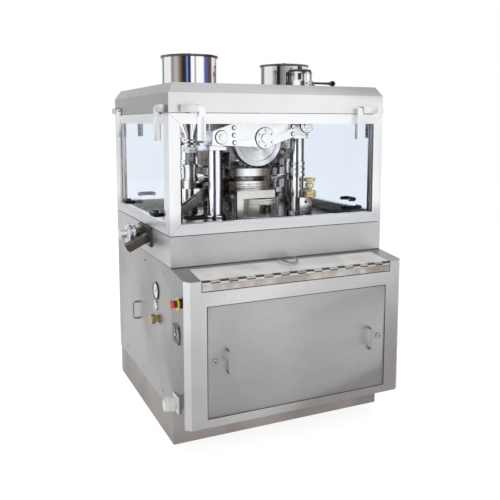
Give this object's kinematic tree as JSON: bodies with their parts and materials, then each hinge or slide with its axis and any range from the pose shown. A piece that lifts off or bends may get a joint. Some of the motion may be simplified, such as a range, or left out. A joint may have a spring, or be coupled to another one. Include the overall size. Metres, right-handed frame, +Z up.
{
  "type": "rotary tablet press",
  "caption": "Double-sided rotary tablet press in a stainless steel cabinet with lift-up glass doors, two hoppers and a front console.",
  "frame": {"origin": "on the floor under the turret's axis, which is the middle of the cabinet", "axes": "+X to the operator's right, +Y to the rear away from the console, +Z up along the turret's axis"},
  "size_m": [1.4308, 1.335, 1.9063],
  "materials": {
    "plinth_steel": "satin",
    "frame_steel": "satin",
    "brushed_panel": "brushed",
    "polished_steel": "satin",
    "bright_fittings": "polished",
    "door_glass": "clear",
    "black_plastic": "gloss",
    "mirror_steel": "mirror",
    "white_plate": "satin",
    "shaft_steel": "ground",
    "turret_steel": "turned",
    "wheel_bronze": "cut",
    "motor_paint": "satin",
    "cast_parts": "painted",
    "belt_rubber": "matte",
    "dark_steel": "satin",
    "knob_brass": "satin",
    "white_plastic": "gloss",
    "red_plastic": "gloss"
  },
  "bodies": {
    "machine": {"plinth": "plinth_steel", "cabinet_frame": "frame_steel", "side_panels": "brushed_panel", "rear_panel": "brushed_panel", "console_shell": "brushed_panel", "deck_base": "brushed_panel", "hood": "polished_steel", "hinge_brackets": "polished_steel", "deck_plate": "polished_steel", "corner_posts": "polished_steel", "panel_fittings": "bright_fittings", "hopper_left": "mirror_steel", "hopper_right": "mirror_steel", "columns": "mirror_steel", "roller_shafts": "mirror_steel", "upper_frame": "white_plate", "roller_housings": "turret_steel", "feeders": "turret_steel", "motor": "motor_paint", "gearbox_housing": "cast_parts", "drive_belt": "belt_rubber", "cam_tracks": "dark_steel", "discharge_chutes": "dark_steel", "adjuster_stand": "dark_steel", "side_instruments": "white_plastic"},
    "turret": {"main_shaft": "shaft_steel", "punch_guide": "turret_steel", "die_table": "turret_steel", "upper_punches": "shaft_steel", "lower_punches": "shaft_steel", "worm_wheel": "wheel_bronze"},
    "worm": {"worm_shaft": "shaft_steel"},
    "motor_rotor": {"motor_pulley": "cast_parts"},
    "pressure_roller_front": {"upper_roller_front": "turret_steel"},
    "pressure_roller_rear": {"upper_roller_rear": "turret_steel"},
    "lower_pressure_roller_front": {"lower_roller_front": "turret_steel"},
    "lower_pressure_roller_rear": {"lower_roller_rear": "turret_steel"},
    "door_front": {"front_door_frame": "polished_steel", "front_door_glass": "door_glass", "front_door_pulls": "black_plastic"},
    "door_rear": {"rear_door_frame": "polished_steel", "rear_door_glass": "door_glass", "rear_door_pulls": "black_plastic"},
    "door_left": {"left_door_frame": "polished_steel", "left_door_glass": "door_glass", "left_door_pulls": "black_plastic"},
    "door_right": {"right_door_frame": "polished_steel", "right_door_glass": "door_glass", "right_door_pulls": "black_plastic"},
    "console_front": {"console_door": "brushed_panel", "console_door_fittings": "bright_fittings"},
    "console_top": {"console_lid": "polished_steel"},
    "hopper_cover_left": {"hopper_lid_left": "mirror_steel"},
    "hopper_cover_right": {"hopper_lid_right": "mirror_steel"},
    "handwheel": {"pressure_handwheel": "dark_steel"},
    "lever": {"locking_lever": "dark_steel"},
    "dial": {"adjusting_dial": "dark_steel"},
    "knob_fill": {"fill_knob": "knob_brass"},
    "button_stop": {"stop_button": "red_plastic"},
    "knob_relief": {"relief_knob": "bright_fittings"}
  },
  "joints": [
    {"name": "turret_spin", "type": "hinge", "parent": "machine", "child": "turret", "pos_m": [0, 0, 1.2], "axis": [0, 0, 1], "continuous": true},
    {"name": "worm_spin", "type": "hinge", "parent": "machine", "child": "worm", "pos_m": [0, 0.1823, 0.778], "axis": [1, 0, 0], "continuous": true},
    {"name": "motor_spin", "type": "hinge", "parent": "machine", "child": "motor_rotor", "pos_m": [0.27, 0.1823, 0.33], "axis": [1, 0, 0], "continuous": true},
    {"name": "pressure_roller_front_spin", "type": "hinge", "parent": "machine", "child": "pressure_roller_front", "pos_m": [0, -0.205, 1.455], "axis": [0, 1, 0], "continuous": true},
    {"name": "pressure_roller_rear_spin", "type": "hinge", "parent": "machine", "child": "pressure_roller_rear", "pos_m": [0, 0.205, 1.455], "axis": [0, 1, 0], "continuous": true},
    {"name": "lower_roller_front_spin", "type": "hinge", "parent": "machine", "child": "lower_pressure_roller_front", "pos_m": [0, -0.205, 1.1004], "axis": [0, 1, 0], "continuous": true},
    {"name": "lower_roller_rear_spin", "type": "hinge", "parent": "machine", "child": "lower_pressure_roller_rear", "pos_m": [0, 0.205, 1.1004], "axis": [0, 1, 0], "continuous": true},
    {"name": "door_front_hinge", "type": "hinge", "parent": "machine", "child": "door_front", "pos_m": [0, -0.544, 1.616], "axis": [-1, 0, 0], "range_deg": [0, 90]},
    {"name": "door_rear_hinge", "type": "hinge", "parent": "machine", "child": "door_rear", "pos_m": [0, 0.544, 1.616], "axis": [1, 0, 0], "range_deg": [0, 90]},
    {"name": "door_left_hinge", "type": "hinge", "parent": "machine", "child": "door_left", "pos_m": [-0.604, 0, 1.616], "axis": [0, 1, 0], "range_deg": [0, 90]},
    {"name": "door_right_hinge", "type": "hinge", "parent": "machine", "child": "door_right", "pos_m": [0.604, 0, 1.616], "axis": [0, -1, 0], "range_deg": [0, 90]},
    {"name": "console_door_pull_off", "type": "slide", "parent": "machine", "child": "console_front", "axis": [0, -1, 0], "range_m": [0, 0.15]},
    {"name": "console_lid_hinge", "type": "hinge", "parent": "machine", "child": "console_top", "pos_m": [0, -0.727, 0.842], "axis": [1, 0, 0], "range_deg": [0, 95]},
    {"name": "hopper_lid_left_lift", "type": "slide", "parent": "machine", "child": "hopper_cover_left", "axis": [0, 0, 1], "range_m": [0, 0.15]},
    {"name": "hopper_lid_right_lift", "type": "slide", "parent": "machine", "child": "hopper_cover_right", "axis": [0, 0, 1], "range_m": [0, 0.15]},
    {"name": "pressure_handwheel_turn", "type": "hinge", "parent": "machine", "child": "handwheel", "pos_m": [0.336, -0.08, 1.84], "axis": [0, 0, 1], "continuous": true},
    {"name": "locking_lever_swing", "type": "hinge", "parent": "machine", "child": "lever", "pos_m": [0.41, -0.08, 1.776], "axis": [0, 0, 1], "range_deg": [-50, 50]},
    {"name": "adjusting_dial_turn", "type": "hinge", "parent": "machine", "child": "dial", "pos_m": [-0.66, -0.058, 0.969], "axis": [1, 0, 0], "continuous": true},
    {"name": "fill_knob_turn", "type": "hinge", "parent": "machine", "child": "knob_fill", "pos_m": [0.274, -0.313, 1.2], "axis": [0, 0, 1], "continuous": true},
    {"name": "stop_button_press", "type": "slide", "parent": "machine", "child": "button_stop", "axis": [1, 0, 0], "range_m": [0, 0.004], "stiffness_N_per_m": 2500},
    {"name": "relief_knob_turn", "type": "hinge", "parent": "machine", "child": "knob_relief", "pos_m": [-0.62, -0.3, 0.568], "axis": [1, 0, 0], "continuous": true}
  ],
  "couplings": [
    {"joint": "worm_spin", "follows": "turret_spin", "ratio": 24},
    {"joint": "motor_spin", "follows": "turret_spin", "ratio": 36},
    {"joint": "pressure_roller_front_spin", "follows": "turret_spin", "ratio": -1.4855},
    {"joint": "pressure_roller_rear_spin", "follows": "turret_spin", "ratio": 1.4855},
    {"joint": "lower_roller_front_spin", "follows": "turret_spin", "ratio": 3.7273},
    {"joint": "lower_roller_rear_spin", "follows": "turret_spin", "ratio": -3.7273}
  ]
}
